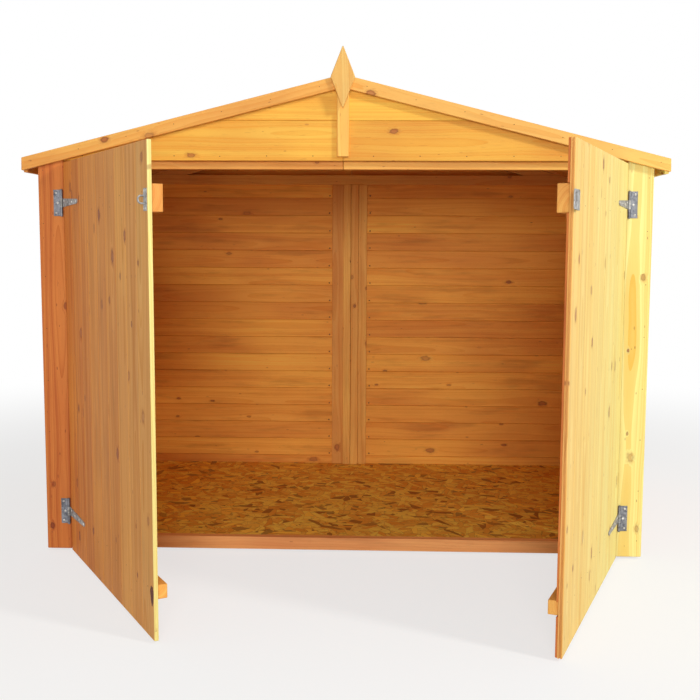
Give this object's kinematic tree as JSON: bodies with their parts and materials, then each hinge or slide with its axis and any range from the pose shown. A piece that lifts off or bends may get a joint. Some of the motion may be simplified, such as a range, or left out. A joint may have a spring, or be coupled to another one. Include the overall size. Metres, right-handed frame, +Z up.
{
  "type": "timber bike shelter",
  "caption": "Low apex timber bike shelter with a pair of outward-opening ledged doors, a board floor, tee hinges and a hasp.",
  "frame": {"origin": "middle of the shelter's footprint on the ground", "axes": "+Z up, -Y out through the doors, +X to the right of someone facing them"},
  "size_m": [1.917, 1.997, 1.5236],
  "materials": {
    "cladding": "dip-treated softwood boards",
    "trim": "dip-treated planed softwood",
    "door_boards": "dip-treated matchboard with knots",
    "framing": "sawn softwood",
    "osb": "oriented strand board",
    "felt": "mineral roofing felt",
    "galvanised": "galvanised sheet"
  },
  "bodies": {
    "shelter": {"floor_bearers": "framing", "floor_sheet_left": "osb", "floor_sheet_right": "osb", "sill": "framing", "corner_boards_front": "trim", "front_posts": "framing", "head_rails": "framing", "front_gable_rail": "framing", "front_gable_panels": "cladding", "front_rafters": "framing", "side_wall_left": "cladding", "side_wall_right": "cladding", "side_rails": "framing", "side_posts": "framing", "back_wall_left": "cladding", "back_wall_right": "cladding", "back_battens": "framing", "back_rail": "framing", "back_rafters": "framing", "back_cover_strip": "trim", "corner_boards_back": "trim", "side_corner_trims": "trim", "ridge_beam": "framing", "roof_sheet_left": "osb", "roof_sheet_right": "osb", "eaves_fascias": "trim", "roof_felt": "felt", "bargeboards_front": "trim", "bargeboards_back": "trim", "finials": "trim", "gable_batten": "trim", "hinge_plates": "galvanised"},
    "left_door": {"left_door_boards": "door_boards", "left_door_ledges": "framing", "left_door_brace": "framing", "left_door_straps": "galvanised", "hasp_staple": "galvanised"},
    "right_door": {"right_door_boards": "door_boards", "right_door_ledges": "framing", "right_door_brace": "framing", "right_door_straps": "galvanised", "right_door_edge_strips": "framing", "hasp_plate": "galvanised"},
    "hasp_flap": {"hasp_flap": "galvanised"}
  },
  "joints": [
    {"name": "left_door_hinge", "type": "hinge", "parent": "shelter", "child": "left_door", "pos_m": [-0.8445, -0.5698, 1.054], "axis": [0, 0, -1], "range_deg": [-59.7, 40.3]},
    {"name": "right_door_hinge", "type": "hinge", "parent": "shelter", "child": "right_door", "pos_m": [0.8445, -0.5698, 1.054], "axis": [0, 0, 1], "range_deg": [-69.3, 30.7]},
    {"name": "hasp_hinge", "type": "hinge", "parent": "right_door", "child": "hasp_flap", "pos_m": [0.55159, -1.34426, 1.054], "axis": [0, 0, 1], "range_deg": [0, 135]}
  ]
}
